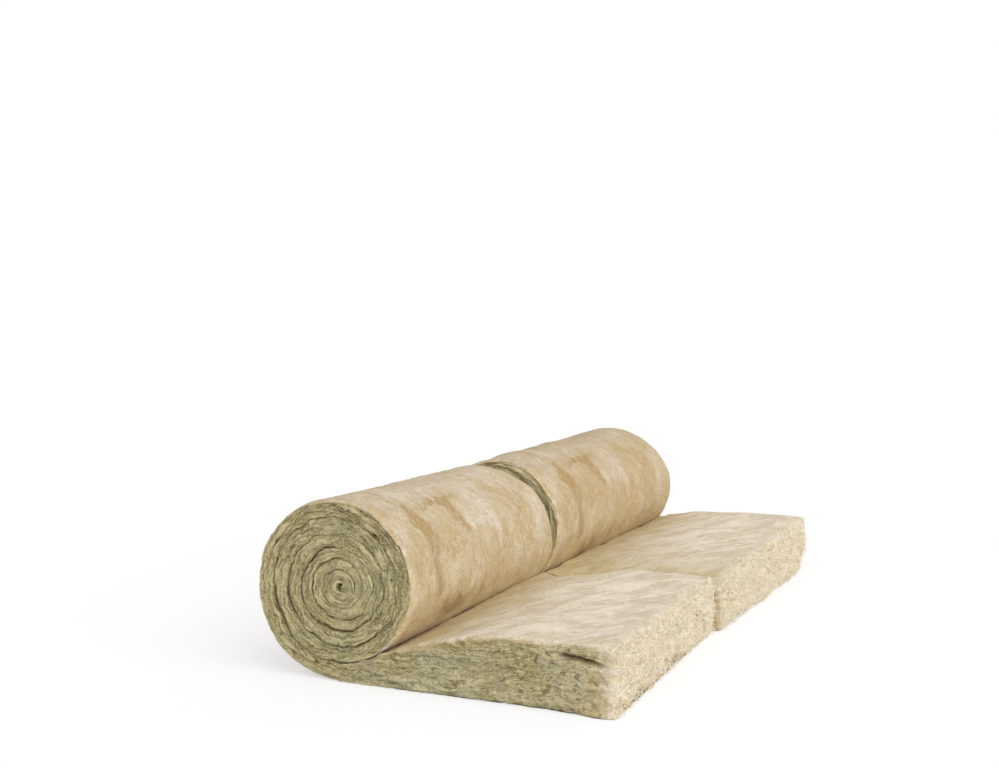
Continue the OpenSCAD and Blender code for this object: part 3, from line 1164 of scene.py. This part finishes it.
# %% Scatter the fibres
fibres = []
for wool_piece, name, seed in ((front_wool, "front_fibres", 2.0), (rear_wool, "rear_fibres", 3.0)):
    piece = bpy.data.objects.new(name, wool_piece.data.copy())
    bpy.context.scene.collection.objects.link(piece)
    apply_tree(piece, scatter_tree, {**FIBRE_SIZES, "Seed": seed})
    piece.data.calc_loop_triangles()
    print(name, len(piece.data.loop_triangles), "triangles")
    fibres.append(piece)

# %% [markdown]
# ## Joining the frame
#
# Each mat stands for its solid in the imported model: the solid stays there for weight and contact, and
# the wool is what shows.

for piece, node in ((front_wool, "front_mat"), (rear_wool, "rear_mat")):
    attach(piece, "root")
    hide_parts(node)
for piece in fibres:
    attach(piece, "root")
print("mats and fibres ride on the root body")

# %% [markdown]
# ## The studio
#
# One large soft sun shines from the right, in front and above, and a white sky lights the roll evenly
# from all sides. The pale floor is made whiter for what the camera sees, so that it runs into the white
# behind the roll and still keeps a soft shadow. A floor that only glows would lose that shadow.

# %% Floor, light and camera
CAMERA_PLACE = (ROLL_X + 1.671, -3.439, 0.893)
CAMERA_YAW = 0.450
CAMERA_PITCH = 0.117
FOCAL_PIXELS = 1975.2
IMAGE_WIDTH = 999
SENSOR_WIDTH = 36.0
FLOOR_SIZE = 200.0
FLOOR_COLOUR = (0.99, 0.99, 0.99, 1)
FLOOR_WHITENESS = 0.55
KEY_TOWARDS = (-0.66, 0.40, -0.64)
KEY_LEVEL = 1.98
KEY_ANGLE = 70.0
SKY_LEVEL = 0.62


def seen_directly(tree):
    """1 for what the camera sees, straight or through a mirror or glass, and 0 for light on the wool."""
    seen = Wire.of(tree, "ShaderNodeLightPath", out="Is Camera Ray")
    rays = seen.socket.node.outputs
    for ray in ("Is Glossy Ray", "Is Transmission Ray"):
        seen = seen.math("MAXIMUM", Wire(rays[ray]))
    return seen


def studio_floor():
    mesh = bpy.data.meshes.new("floor")
    half = FLOOR_SIZE / 2
    corners = [(-half, -half, 0), (half, -half, 0), (half, half, 0), (-half, half, 0)]
    mesh.from_pydata(corners, [], [(0, 1, 2, 3)])
    floor = bpy.data.objects.new("floor", mesh)
    bpy.context.scene.collection.objects.link(floor)
    material = bpy.data.materials.new("floor")
    material.use_nodes = True
    tree = material.node_tree
    body = tree.nodes["Principled BSDF"]
    body.inputs["Base Color"].default_value = FLOOR_COLOUR
    body.inputs["Roughness"].default_value = 1.0
    body.inputs["Specular IOR Level"].default_value = 0.0
    white = Wire.of(tree, "ShaderNodeEmission", {"Color": (1, 1, 1, 1), "Strength": 1.0})
    inputs = {0: seen_directly(tree) * FLOOR_WHITENESS, 1: Wire(body.outputs[0]), 2: white}
    surface = Wire.of(tree, "ShaderNodeMixShader", inputs)
    tree.links.new(surface.socket, tree.nodes["Material Output"].inputs["Surface"])
    mesh.materials.append(material)


def soft_sun(name, towards, strength, angle):
    light = bpy.data.lights.new(name, "SUN")
    light.energy = strength
    light.angle = math.radians(angle)
    holder = bpy.data.objects.new(name, light)
    bpy.context.scene.collection.objects.link(holder)
    holder.rotation_euler = (-Vector(towards)).to_track_quat("Z", "Y").to_euler()


def white_sky(strength):
    """A sky that lights with a given strength but looks plain white behind the object."""
    world = bpy.data.worlds.new("studio")
    world.use_nodes = True
    bpy.context.scene.world = world
    tree = world.node_tree
    background = tree.nodes["Background"]
    background.inputs["Color"].default_value = (1, 1, 1, 1)
    level = seen_directly(tree) * (1 - strength) + strength
    tree.links.new(level.socket, background.inputs["Strength"])


def photo_camera():
    data = bpy.data.cameras.new("camera")
    data.sensor_width = SENSOR_WIDTH
    data.lens = FOCAL_PIXELS * SENSOR_WIDTH / IMAGE_WIDTH
    camera = bpy.data.objects.new("camera", data)
    bpy.context.scene.collection.objects.link(camera)
    camera.location = CAMERA_PLACE
    camera.rotation_euler = (math.pi / 2 - CAMERA_PITCH, 0, CAMERA_YAW)
    bpy.context.scene.camera = camera


studio_floor()
soft_sun("key", KEY_TOWARDS, KEY_LEVEL, KEY_ANGLE)
white_sky(SKY_LEVEL)
photo_camera()
bpy.context.scene.view_settings.view_transform = "Standard"
print("studio ready")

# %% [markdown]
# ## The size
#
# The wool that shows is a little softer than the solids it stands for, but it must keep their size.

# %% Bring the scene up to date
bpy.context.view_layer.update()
